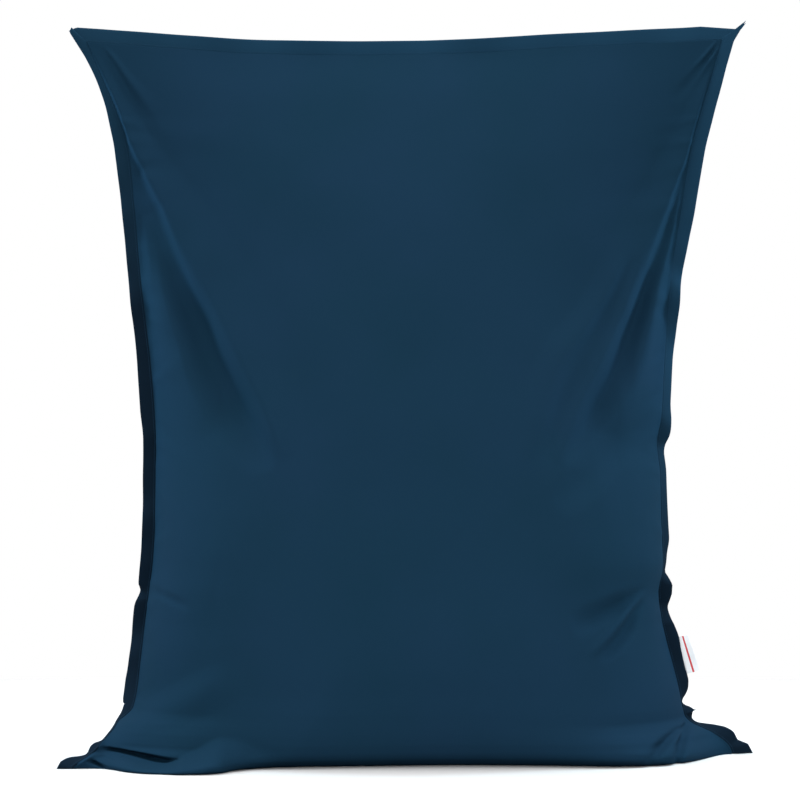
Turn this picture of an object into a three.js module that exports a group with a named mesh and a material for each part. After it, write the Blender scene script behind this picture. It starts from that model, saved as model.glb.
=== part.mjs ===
// Giant floor bean bag, in millimetres: +X to the right, +Y away from the viewer, +Z up.
// Two panels of cloth are sewn into a pillow-shaped bag. It stands on a short end: the filling has
// settled low, so the foot is deep, the sides draw in and the top is pulled out flat to two corners.
// A flat flange, the sewn edges of the two panels, runs outside the seam, and a bare label is sewn
// into its right-hand edge.
import * as THREE from "three";

// Driving sizes
const edgeHalf = 2; // half the thickness of the bag where its panels meet at the seam
const flangeHalf = 1.5; // half the thickness of the flange, two layers of cloth
const flangeWidth = 27; // width of the flange from the seam to its outer edge
const pieceGap = 0.4; // clearance between the bag, its flanges and the label
const rowStep = 36; // tallest row of the panels' mesh
const columns = 42; // columns of the panels' mesh, from seam to seam
const deepestValley = 0.6; // deepest a fold may sink, as a share of the panel's own swell
const columnCrowding = 0.62; // share of the column spacing that crowds towards the seams
const topBlendStart = 1080; // height from which the rows bend to follow the sagging top seam
const labelSize = { length: 73, reach: 25, thickness: 1.2, corner: 4 };
const labelHeight = 200; // height of the label's middle on the right-hand flange

const cloth = { color: 0x1b3750, roughness: 0.62, metalness: 0 };
const flangeCloth = { color: 0x182838, roughness: 0.68, metalness: 0 };
const labelCloth = { color: 0xe4e7ea, roughness: 0.55, metalness: 0 };

// A table is a list of rows under named columns.
function table(names, rows) {
  return rows.map((row) => Object.fromEntries(names.map((name, i) => [name, row[i]])));
}

// Level sections of the bag, from the floor up. The seam lies at leftX and rightX, and its foot
// sweeps to leftY and rightY at the floor. front and back are how far the panels swell from the
// seam's plane, square is how flat their middle is, and sharp draws the section's ends to cusps
// over 1 and rounds them under 1.
const sections = table(
  ["z", "leftX", "rightX", "leftY", "rightY", "front", "back", "square", "sharp"],
  [
    [0, -640, 670, -292, 14, 256, 262, 10, 2.3],
    [8, -634, 669, -290, 14, 268, 270, 10, 2.3],
    [16, -622, 665, -282, 13, 277, 276, 9.5, 2.2],
    [26, -606, 656, -265, 11, 285, 281, 8.5, 1.95],
    [36, -592, 643, -243, 8, 290, 285, 7.5, 1.7],
    [46, -580, 628, -217, 5, 294, 288, 6.5, 1.4],
    [56, -569, 607, -189, 3, 297, 290, 5.6, 1.15],
    [66, -558, 586, -162, 2, 300, 292, 5, 0.98],
    [80, -546, 573, -130, 1, 302, 294, 4.5, 0.88],
    [104, -536, 567, -96, 0, 305, 296, 4.1, 0.8],
    [140, -531, 560, -63, 0, 308, 298, 3.8, 0.76],
    [191, -527, 547, -36, 0, 310, 300, 3.5, 0.72],
    [236, -523, 535, -20, 0, 310, 300, 3.3, 0.7],
    [278, -519, 526, -8, 0, 309, 299, 3.2, 0.7],
    [330, -513, 520, 0, 0, 306, 297, 3.1, 0.7],
    [394, -505, 529, 0, 0, 300, 292, 3, 0.7],
    [475, -501, 526, 0, 0, 290, 283, 2.9, 0.7],
    [570, -500, 524, 0, 0, 274, 268, 2.8, 0.71],
    [630, -499, 518, 0, 0, 262, 256, 2.7, 0.72],
    [690, -500, 527, 0, 0, 249, 243, 2.6, 0.73],
    [800, -507, 533, 0, 0, 219, 215, 2.5, 0.75],
    [942, -522, 543, 0, 0, 176, 173, 2.4, 0.79],
    [1104, -538, 563, 0, 0, 122, 120, 2.3, 0.86],
    [1226, -552, 582, 0, 0, 80, 79, 2.2, 0.93],
    [1303, -577, 604, 0, 0, 52, 51, 2.1, 1],
    [1368, -604, 624, 0, 0, 29, 28, 2, 1.05],
    [1446, -641, 650, 0, 0, 0, 0, 2, 1.1],
  ],
);
const topZ = sections.at(-1).z;

// The top seam sags between its two corners.
const topSeam = table(
  ["x", "z"],
  [
    [-641, 1446],
    [-560, 1438],
    [-440, 1428],
    [-300, 1421],
    [-100, 1418],
    [100, 1421],
    [300, 1433],
    [480, 1443],
    [650, 1451],
  ],
);

// Folds of the panels, each listed from its top: a crest from (x1, z1) to (x2, z2) whose middle
// bows sideways, to +X over 0. left and right are its half widths on either side at the lower end,
// start is their share at the upper end, and rise is its height, under 0 for a valley.
const folds = table(
  ["face", "x1", "z1", "x2", "z2", "bow", "left", "right", "start", "rise"],
  [
    ["front", -622, 1400, -246, 630, 9, 60, 120, 0.4, 27],
    ["front", -545, 1150, -328, 690, 8, 50, 50, 0.6, -22],
    ["front", 632, 1400, 328, 610, 20, 130, 56, 0.4, 28],
    ["front", 545, 1060, 366, 630, 8, 46, 46, 0.6, -25],
    ["front", 570, 1130, 452, 690, 6, 44, 44, 0.6, 15],
    ["front", 440, 1000, 284, 556, 6, 60, 44, 0.6, 10],
    ["front", 476, 670, 330, 530, 0, 46, 46, 0.7, -15],
    ["front", 496, 338, 356, 212, 4, 38, 38, 0.7, 20],
    ["front", 480, 376, 312, 280, 4, 44, 44, 0.7, -14],
    ["front", 520, 306, 410, 196, 4, 40, 40, 0.7, -14],
    ["front", -598, 44, -440, 22, 0, 18, 26, 0.7, -22],
    ["front", -330, 170, -560, 92, 0, 50, 50, 0.7, 13],
    ["front", 574, 74, 494, 10, 0, 34, 28, 0.6, -34],
    ["front", 582, 78, 534, 0, 0, 22, 22, 0.6, -30],
    ["front", 640, 1430, 585, 1360, 0, 26, 26, 0.6, -9],
    ["back", -618, 1400, -290, 680, 18, 60, 110, 0.4, 24],
    ["back", -530, 1130, -340, 690, 8, 50, 50, 0.6, -18],
    ["back", 632, 1400, 268, 610, 18, 120, 60, 0.4, 26],
    ["back", 550, 1120, 344, 700, 8, 50, 50, 0.6, -20],
    ["back", 510, 430, 320, 300, 4, 44, 44, 0.7, 16],
    ["back", -510, 350, -340, 200, 4, 44, 44, 0.7, 16],
    ["back", 590, 84, 420, 30, 0, 44, 34, 0.5, -24],
    ["back", -575, 84, -420, 20, 0, 34, 44, 0.5, -24],
  ],
);

// The flanges from the floor up: out is how far each reaches straight out from the seam, seen from
// the front. What is left of its width turns towards the back.
const leftFlange = table(
  ["z", "out"],
  [
    [0, 32],
    [9, 12],
    [18, 4],
    [28, 3],
    [40, 4],
    [54, 6],
    [66, 9],
    [80, 16],
    [104, 23],
    [120, 26],
    [150, 27],
    [181, 25],
    [221, 23.5],
    [262, 24.5],
    [298, 27],
    [345, 23],
    [394, 24.5],
    [576, 25.5],
    [638, 24.5],
    [760, 25],
    [840, 27],
    [942, 24.5],
    [1074, 25.5],
    [1216, 27],
    [1267, 25],
    [1303, 18],
    [1340, 10],
    [1382, 6],
    [1425, 8],
    [1446, 12],
  ],
);
const rightFlange = table(
  ["z", "out"],
  [
    [0, 41],
    [12, 29],
    [26, 20],
    [43, 14],
    [54, 11],
    [60, 7],
    [68, 9],
    [80, 22],
    [90, 20],
    [104, 2],
    [114, 10],
    [132, 19],
    [150, 22],
    [170, 21],
    [201, 20],
    [231, 24],
    [256, 23],
    [272, 17],
    [292, 9],
    [310, 16],
    [329, 26],
    [345, 26],
    [360, 20],
    [374, 11],
    [404, 11],
    [440, 16],
    [556, 14],
    [607, 12],
    [658, 19],
    [719, 12],
    [755, 12],
    [800, 17],
    [861, 22],
    [922, 24.5],
    [962, 22],
    [1054, 26],
    [1110, 31],
    [1200, 32],
    [1267, 27],
    [1330, 25],
    [1405, 22],
    [1451, 24],
  ],
);

// A fold of the front lies on the floor at the left-hand foot: how far it reaches forward of the
// bag, how high it stands, and how softly it runs up into the front, from left to right.
const footRoll = table(
  ["x", "reach", "height", "soft"],
  [
    [-640, 0, 30, 0.6],
    [-620, 26, 32, 0.6],
    [-600, 38, 33, 0.6],
    [-571, 40, 31, 0.6],
    [-517, 95, 26, 0.6],
    [-465, 120, 22, 0.7],
    [-425, 134, 25, 1],
    [-388, 134, 44, 1.8],
    [-350, 116, 66, 2.4],
    [-322, 64, 66, 2.6],
    [-285, 26, 50, 2.6],
    [-225, 0, 40, 2.6],
  ],
);

// The value of one column of a table at x, on a smooth curve that never overshoots its rows.
function smoothValue(rows, key, name, x) {
  const last = rows.length - 1;
  let i = 0;
  while (i < last - 1 && x > rows[i + 1][key]) {
    i += 1;
  }
  const slopeOf = (k) => (rows[k + 1][name] - rows[k][name]) / (rows[k + 1][key] - rows[k][key]);
  const slopeAt = (k) => {
    if (k === 0 || k === last) {
      return slopeOf(Math.min(k, last - 1));
    }
    const before = slopeOf(k - 1);
    const after = slopeOf(k);
    return before * after > 0 ? (2 * before * after) / (before + after) : 0;
  };
  const span = rows[i + 1][key] - rows[i][key];
  const t = THREE.MathUtils.clamp((x - rows[i][key]) / span, 0, 1);
  const t2 = t * t;
  const t3 = t2 * t;
  return (
    rows[i][name] * (2 * t3 - 3 * t2 + 1) +
    slopeAt(i) * span * (t3 - 2 * t2 + t) +
    rows[i + 1][name] * (3 * t2 - 2 * t3) +
    slopeAt(i + 1) * span * (t3 - t2)
  );
}

function sectionAt(z) {
  const names = ["leftX", "rightX", "leftY", "rightY", "front", "back", "square", "sharp"];
  return Object.fromEntries(names.map((name) => [name, smoothValue(sections, "z", name, z)]));
}

// How far the folds lift one face of the bag at (x, z), square to the seam's plane.
function foldRise(face, x, z) {
  let rise = 0;
  for (const fold of folds) {
    if (fold.face !== face) {
      continue;
    }
    const dx = fold.x2 - fold.x1;
    const dz = fold.z2 - fold.z1;
    const length = Math.hypot(dx, dz);
    const along = ((x - fold.x1) * dx + (z - fold.z1) * dz) / length ** 2;
    const t = THREE.MathUtils.clamp(along, 0, 1);
    const bowed = 4 * fold.bow * t * (1 - t);
    const aside = ((z - fold.z1) * dx - (x - fold.x1) * dz) / length - bowed;
    const away = Math.hypot(aside, (along - t) * length);
    const half = (aside < 0 ? fold.left : fold.right) * THREE.MathUtils.lerp(fold.start, 1, t);
    if (away < half) {
      const bell = (1 - (away / half) ** 2) ** 2;
      const ends = Math.sin(Math.PI * (0.12 + 0.76 * t));
      rise += fold.rise * bell * ends;
    }
  }
  return rise;
}

// How far the fold on the floor stands forward of the front at (x, z): a round-nosed lip.
function rollReach(x, z) {
  const height = smoothValue(footRoll, "x", "height", x);
  const soft = smoothValue(footRoll, "x", "soft", x);
  return z < height ? smoothValue(footRoll, "x", "reach", x) * (1 - (z / height) ** 2) ** soft : 0;
}

// A point on one face: across runs from -1 at the left seam to 1 at the right seam.
function facePoint(face, across, z) {
  const at = sectionAt(z);
  const middle = (at.leftX + at.rightX) / 2;
  const x = middle + (across * (at.rightX - at.leftX)) / 2;
  const outward = face === "front" ? -1 : 1;
  const swell = (1 - Math.abs(across) ** at.square) ** at.sharp;
  const seamY = (across < 0 ? at.leftY : at.rightY) * Math.abs(across) ** 6;
  const nearSeam = THREE.MathUtils.smoothstep(1 - Math.abs(across), 0, 0.05);
  const lift = THREE.MathUtils.smoothstep(z, topBlendStart, topZ);
  const sag = smoothValue(topSeam, "x", "z", x) - topZ;
  const nearTop = 1 - THREE.MathUtils.smoothstep(z, topZ - 60, topZ);
  const fold = foldRise(face, x, z) * nearSeam * nearTop;
  const rise = Math.max(fold, -deepestValley * at[face] * swell);
  const roll = face === "front" ? rollReach(x, z) * nearSeam : 0;
  const y = seamY + outward * (edgeHalf + at[face] * swell + rise + roll);
  return new THREE.Vector3(x, y, z + sag * lift);
}

// Heights of the mesh's rows: every section, with the tall steps divided.
function rowHeights() {
  const heights = [];
  for (let i = 0; i + 1 < sections.length; i += 1) {
    const from = sections[i].z;
    const to = sections[i + 1].z;
    const steps = Math.ceil((to - from) / rowStep);
    for (let k = 0; k < steps; k += 1) {
      heights.push(from + ((to - from) * k) / steps);
    }
  }
  heights.push(topZ);
  return heights;
}

// Places of the mesh's columns, crowded towards the seams where the panels turn fastest.
function columnPlaces() {
  return Array.from({ length: columns + 1 }, (_, i) => {
    const t = (2 * i) / columns - 1;
    return columnCrowding * Math.sin((Math.PI / 2) * t) + (1 - columnCrowding) * t;
  });
}

// A closed mesh from a list of rings of points, each ring running the same way round. The diagonal
// of each four-sided patch climbs with the ring where climbs(s) holds, and against it elsewhere.
function loft(rings, climbs = () => true) {
  const sides = rings[0].length;
  const positions = rings.flat().flatMap((point) => [point.x, point.y, point.z]);
  const triangles = [];
  for (let r = 0; r + 1 < rings.length; r += 1) {
    for (let s = 0; s < sides; s += 1) {
      const next = (s + 1) % sides;
      const a = r * sides + s;
      const b = r * sides + next;
      const c = a + sides;
      const d = b + sides;
      triangles.push(...(climbs(s) ? [a, b, d, a, d, c] : [a, b, c, b, d, c]));
    }
  }
  return { positions, triangles, sides, ringCount: rings.length };
}

function toGeometry(positions, triangles) {
  const geometry = new THREE.BufferGeometry();
  geometry.setAttribute("position", new THREE.Float32BufferAttribute(positions, 3));
  geometry.setIndex(triangles);
  geometry.computeVertexNormals();
  return geometry;
}

// The bag: rings of the front and back faces, closed by the flat foot and by the top seam.
function bagGeometry() {
  const places = columnPlaces();
  const rings = rowHeights().map((z) => {
    const front = places.map((across) => facePoint("front", across, z));
    const back = places.map((across) => facePoint("back", across, z)).reverse();
    return [...front, ...back];
  });
  const quarter = (s) => Math.floor((4 * s) / rings[0].length);
  const mesh = loft(rings, (s) => quarter(s) % 2 === 1);
  const top = (mesh.ringCount - 1) * mesh.sides;
  for (let i = 0; i < columns; i += 1) {
    const opposite = mesh.sides - 1 - i;
    mesh.triangles.push(i, opposite, i + 1, i + 1, opposite, opposite - 1);
    const above = top + opposite;
    mesh.triangles.push(top + i, top + i + 1, above, top + i + 1, above - 1, above);
  }
  return toGeometry(mesh.positions, mesh.triangles);
}

// A strip of cloth along a seam. Each station has its seam point, the way the strip goes and its
// width; the strip's section is a thin rectangle with one point midway, so that it can curl.
function stripGeometry(stations) {
  const rings = stations.map(({ seam, way, width, normal }) => {
    const offsets = [0, 0.5, 1];
    const at = (share, side) =>
      seam.clone().addScaledVector(way, width * share).addScaledVector(normal, side * flangeHalf);
    return [...offsets.map((share) => at(share, -1)), ...offsets.reverse().map((share) => at(share, 1))];
  });
  const mesh = loft(rings);
  const end = (mesh.ringCount - 1) * mesh.sides;
  const lids = [
    [0, 5, 1],
    [1, 5, 4],
    [1, 4, 2],
    [2, 4, 3],
  ];
  for (const [a, b, c] of lids) {
    mesh.triangles.push(a, b, c, end + a, end + c, end + b);
  }
  return toGeometry(mesh.positions, mesh.triangles);
}

// The seam's own line on one side, with each row of the panels divided in two.
function seamLine(side) {
  const rows = rowHeights().map((z) => {
    const front = facePoint("front", side, z);
    return { z, point: new THREE.Vector3(front.x, front.y + edgeHalf, front.z) };
  });
  return rows.flatMap((row, i) => {
    if (i === 0) {
      return [row];
    }
    const below = rows[i - 1];
    const half = { z: (row.z + below.z) / 2, point: row.point.clone().lerp(below.point, 0.5) };
    return [half, row];
  });
}

// The flange of one side. At each station it goes out from the seam, square to it, and turns to the
// back. Its last station, at the top, runs out to the corner's tip.
function sideFlange(side, rows) {
  const line = seamLine(side);
  const last = line.length - 1;
  const back = new THREE.Vector3(0, 1, 0);
  return line.map(({ z, point }, i) => {
    const up = line[Math.min(i + 1, last)].point.clone().sub(line[Math.max(i - 1, 0)].point);
    up.y = 0;
    up.normalize();
    const out = i === 0 ? new THREE.Vector3(side, 0, 0) : new THREE.Vector3(side * up.z, 0, -side * up.x);
    const reach = smoothValue(rows, "z", "out", z);
    const behind = Math.sqrt(Math.max(flangeWidth ** 2 - reach ** 2, 0));
    const way = out.clone().multiplyScalar(reach).addScaledVector(back, behind);
    let width = way.length();
    way.normalize();
    const clear = pieceGap + (flangeHalf * behind) / width;
    const start = point.clone().addScaledVector(out, clear);
    if (i === last) {
      way.copy(topTip(side)).sub(point);
      width = way.length() - pieceGap;
      way.normalize();
      start.copy(point).addScaledVector(way, pieceGap).add(new THREE.Vector3(0, 0, -pieceGap));
    }
    const normal = new THREE.Vector3().crossVectors(up, way).normalize();
    return { seam: start, way, width, normal };
  });
}

// The corner of the flange, drawn out beyond the seam's corner where the bag is held up to shape.
function topTip(side) {
  return side < 0 ? new THREE.Vector3(-674, 0, 1475) : new THREE.Vector3(700, 0, 1486);
}

// The flange along the top seam, mitred to the side flanges at its two tips.
function topFlange() {
  const places = columnPlaces();
  const line = places.map((across) => {
    const front = facePoint("front", across, topZ);
    return new THREE.Vector3(front.x, 0, front.z);
  });
  return line.map((seam, i) => {
    const along = line[Math.min(i + 1, line.length - 1)].clone().sub(line[Math.max(i - 1, 0)]).normalize();
    let way = new THREE.Vector3(-along.z, 0, along.x);
    let reach = flangeWidth;
    const start = seam.clone().addScaledVector(way, pieceGap);
    if (i === 0 || i === line.length - 1) {
      way = topTip(i === 0 ? -1 : 1).sub(seam);
      reach = way.length();
      way.normalize();
      start.copy(seam).addScaledVector(way, pieceGap).add(new THREE.Vector3(0, 0, pieceGap));
      reach -= pieceGap;
    }
    return { seam: start, way, width: reach, normal: new THREE.Vector3(0, -1, 0) };
  });
}

// The label: a thin slip with two rounded outer corners, set against the flange's outer edge.
function labelMesh(stations) {
  const { length, reach, thickness, corner } = labelSize;
  const middles = stations.map(({ seam, way, width }) => seam.clone().addScaledVector(way, width));
  const nearest = (z) =>
    middles.reduce((best, point) => (Math.abs(point.z - z) < Math.abs(best.z - z) ? point : best));
  const low = nearest(labelHeight - length / 2);
  const high = nearest(labelHeight + length / 2);
  const lean = Math.atan2(low.x - high.x, high.z - low.z);
  const outward = new THREE.Vector3(Math.cos(lean), 0, Math.sin(lean));
  const upward = new THREE.Vector3(-Math.sin(lean), 0, Math.cos(lean));

  // The flange's outer corners beside the label, which its inner edge must clear
  const beside = stations.filter((station, i) => Math.abs(middles[i].z - labelHeight) < 0.6 * length);
  const corners = beside.flatMap(({ seam, way, width, normal }) => {
    const edge = seam.clone().addScaledVector(way, width);
    return [-flangeHalf, flangeHalf].map((half) => edge.clone().addScaledVector(normal, half));
  });
  const clear = Math.max(...corners.map((point) => point.dot(outward))) + pieceGap;
  const depth = corners.reduce((sum, point) => sum + point.y, 0) / corners.length;
  const along = low.dot(upward) + length / 2;

  const outline = new THREE.Shape();
  outline.moveTo(0, -length / 2);
  outline.lineTo(reach - corner, -length / 2);
  outline.absarc(reach - corner, -length / 2 + corner, corner, -Math.PI / 2, 0, false);
  outline.absarc(reach - corner, length / 2 - corner, corner, 0, Math.PI / 2, false);
  outline.lineTo(0, length / 2);
  outline.closePath();
  const geometry = new THREE.ExtrudeGeometry(outline, {
    depth: thickness,
    bevelEnabled: false,
    curveSegments: 4,
  });
  geometry.translate(0, 0, -thickness / 2);
  const label = clothMesh("label", geometry, labelCloth);
  label.rotation.set(Math.PI / 2, -lean, 0, "YXZ");
  label.position.addScaledVector(outward, clear).addScaledVector(upward, along);
  label.position.y = depth;
  return label;
}

function clothMesh(name, geometry, look) {
  const mesh = new THREE.Mesh(geometry, new THREE.MeshStandardMaterial(look));
  mesh.name = name;
  return mesh;
}

const bag = new THREE.Group();
const rightStations = sideFlange(1, rightFlange);
bag.add(clothMesh("bag", bagGeometry(), cloth));
bag.add(clothMesh("flange_left", stripGeometry(sideFlange(-1, leftFlange)), flangeCloth));
bag.add(clothMesh("flange_right", stripGeometry(rightStations), flangeCloth));
bag.add(clothMesh("flange_top", stripGeometry(topFlange()), flangeCloth));
bag.add(labelMesh(rightStations));

// The origin is the middle of the foot of the whole object's bounding box.
const bounds = new THREE.Box3().setFromObject(bag, true);
const centre = bounds.getCenter(new THREE.Vector3());
bag.position.set(-centre.x, -centre.y, -bounds.min.z);
const part = new THREE.Group();
part.add(bag);

export default part;
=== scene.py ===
import math

import bpy
import numpy as np
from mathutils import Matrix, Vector


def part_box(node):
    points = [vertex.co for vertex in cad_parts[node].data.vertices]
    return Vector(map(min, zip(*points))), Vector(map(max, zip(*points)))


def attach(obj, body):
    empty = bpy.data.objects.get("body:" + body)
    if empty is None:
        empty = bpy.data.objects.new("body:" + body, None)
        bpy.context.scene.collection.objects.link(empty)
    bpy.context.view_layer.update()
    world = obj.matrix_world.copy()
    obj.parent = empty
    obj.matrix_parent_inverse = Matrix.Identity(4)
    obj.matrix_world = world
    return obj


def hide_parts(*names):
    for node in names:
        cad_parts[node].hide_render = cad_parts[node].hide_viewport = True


# A giant floor bean bag in navy polyester: two panels sewn into a pillow-shaped bag that stands on
# its filled foot, a flat flange outside the seam, and a white woven label in the right-hand edge.
# The tables are in millimetres, x and y counted from the seam's own plane and z from the floor.

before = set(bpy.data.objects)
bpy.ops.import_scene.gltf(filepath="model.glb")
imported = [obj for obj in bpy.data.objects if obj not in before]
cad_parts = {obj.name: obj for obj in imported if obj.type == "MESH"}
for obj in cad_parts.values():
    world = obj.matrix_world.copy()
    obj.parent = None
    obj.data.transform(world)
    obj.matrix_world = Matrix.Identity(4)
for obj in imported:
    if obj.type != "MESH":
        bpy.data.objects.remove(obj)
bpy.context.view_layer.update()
toMetres = 0.001

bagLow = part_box("bag")[0]
topLow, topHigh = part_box("flange_top")
leftSeamAtFloor = -640.0  # the bag's leftmost point in the tables
frameShift = np.array([bagLow.x - leftSeamAtFloor * toMetres, (topLow.y + topHigh.y) / 2, 0.0])
rng = np.random.default_rng(11)


# Tables and blending

# A table as a dictionary of columns by name
def makeTable(names, rows):
    return dict(zip(names.split(), np.array(rows, float).T))


# A column's value at each place: a cubic between rows, whose slope at a row is the harmonic mean of
# the slopes on either side, or level where they change sign, so that it never overshoots
def readTable(table, name, at, key="z"):
    knots, values = table[key], table[name]
    steps = np.diff(knots)
    slopes = np.diff(values) / steps
    before, after = slopes[:-1], slopes[1:]
    sameWay = before * after > 0
    harmonic = 2 * before * after / np.where(sameWay, before + after, 1)
    tangents = np.concatenate([slopes[:1], np.where(sameWay, harmonic, 0), slopes[-1:]])
    i = np.clip(np.searchsorted(knots, at, side="right") - 1, 0, len(steps) - 1)
    t = np.clip((at - knots[i]) / steps[i], 0, 1)
    ends = values[i] * (2 * t**3 - 3 * t**2 + 1) + values[i + 1] * (3 * t**2 - 2 * t**3)
    turns = tangents[i] * (t**3 - 2 * t**2 + t) + tangents[i + 1] * (t**3 - t**2)
    return ends + steps[i] * turns


# 0 below low, 1 above high, and 3t^2 - 2t^3 between
def easeBetween(value, low, high):
    t = np.clip((value - low) / (high - low), 0, 1)
    return t * t * (3 - 2 * t)


# The bag's form

bagForm = {
    "edgeHalf": 2.0,  # half the thickness where the panels meet at the seam
    "topZ": 1446.0,
    "topBlendStart": 1080.0,  # rows bend to follow the sagging top seam from here up
    "deepestValley": 0.6,  # share of the panel's own swell
    "columns": 190,
    "columnCrowding": 0.62,  # share of the spacing that crowds towards the seams
    "rows": 300,
    "rowCrowding": 0.74,  # how much closer the rows stand at the floor and the top
    "foldStart": 0.012,  # share of the half width over which the folds rise from the seam
    "seamPull": 6,  # power of the distance from the middle with which a panel follows its seam
    "backCloth": 3000.0,  # where the back's cloth coordinates start, clear of the front's
}

# Level sections: the seam's place on each side, how far each panel swells from the seam's plane, how
# square the middle is, and how sharp the ends (over 1 cusped, under 1 round)
sections = makeTable(
    "z leftX rightX leftY rightY front back square sharp",
    [
        [0, -640, 670, -292, 14, 250, 262, 10, 2.3],
        [4, -638, 670, -291, 14, 266, 266, 10, 2.3],
        [8, -634, 669, -290, 14, 275, 270, 10, 2.3],
        [16, -622, 665, -282, 13, 290, 276, 9.5, 2.2],
        [26, -606, 656, -265, 11, 299, 281, 8.5, 1.95],
        [36, -595, 643, -243, 8, 303, 285, 7.5, 1.7],
        [46, -587, 628, -217, 5, 306, 288, 6.8, 1.4],
        [56, -578, 607, -189, 3, 307.5, 290, 6.2, 1.15],
        [66, -570, 586, -162, 2, 308.5, 292, 5.7, 0.98],
        [80, -562, 573, -130, 1, 309, 294, 5.2, 0.88],
        [92, -547, 570, -111, 0, 309, 295, 5, 0.84],
        [104, -537, 567, -96, 0, 309.5, 296, 4.8, 0.8],
        [140, -531, 560, -63, 0, 308, 298, 4.5, 0.76],
        [191, -527, 547, -36, 0, 310, 300, 4.2, 0.73],
        [236, -523, 535, -20, 0, 310, 300, 4.1, 0.72],
        [278, -519, 526, -8, 0, 309, 299, 4, 0.72],
        [330, -513, 520, 0, 0, 306, 297, 4, 0.72],
        [394, -505, 529, 0, 0, 300, 292, 4, 0.73],
        [475, -501, 526, 0, 0, 290, 283, 3.7, 0.75],
        [570, -500, 524, 0, 0, 274, 268, 3.3, 0.79],
        [630, -499, 518, 0, 0, 261, 256, 3.1, 0.82],
        [690, -502, 527, 0, 0, 246, 243, 2.95, 0.86],
        [800, -511, 533, 0, 0, 213, 213, 2.75, 0.92],
        [942, -528, 543, 0, 0, 167, 168, 2.7, 0.98],
        [1104, -543, 567, 0, 0, 114, 116, 2.7, 1.0],
        [1226, -556, 587, 0, 0, 75, 77, 2.7, 1.0],
        [1303, -578, 608, 0, 0, 50, 51, 2.6, 1.02],
        [1368, -605, 628, 0, 0, 29, 28, 2.4, 1.02],
        [1446, -641, 650, 0, 0, 0, 0, 2, 1.1],
    ],
)
topSeam = makeTable(
    "x z",
    [
        [-641, 1447],
        [-560, 1441],
        [-440, 1432],
        [-300, 1423],
        [-100, 1420],
        [100, 1423],
        [300, 1434],
        [480, 1443],
        [650, 1452],
    ],
)

# How far the front reaches out near the floor, at each x: the fold of cloth that lies on the floor at
# the left-hand foot, and past it the foot drawn in (a negative reach) and rounded under the filling
footRoll = makeTable(
    "x reach height soft",
    [
        [-640, 0, 26, 0.6],
        [-620, 26, 30, 0.6],
        [-600, 38, 30, 0.6],
        [-582, 40, 27, 0.6],
        [-560, 50, 23, 0.5],
        [-535, 78, 19, 0.5],
        [-509, 100, 15, 0.5],
        [-489, 112, 12.5, 0.5],
        [-465, 120, 12, 0.6],
        [-444, 128, 16, 0.8],
        [-425, 134, 25, 1],
        [-388, 134, 44, 1.8],
        [-350, 116, 66, 2.4],
        [-322, 64, 66, 2.6],
        [-285, 26, 50, 2.6],
        [-225, 0, 40, 2.6],
        [-60, -24, 300, 2.6],
        [120, -42, 300, 2.6],
        [260, -34, 300, 2.6],
        [420, -8, 300, 2.6],
        [520, 0, 300, 2.6],
    ],
)

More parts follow.
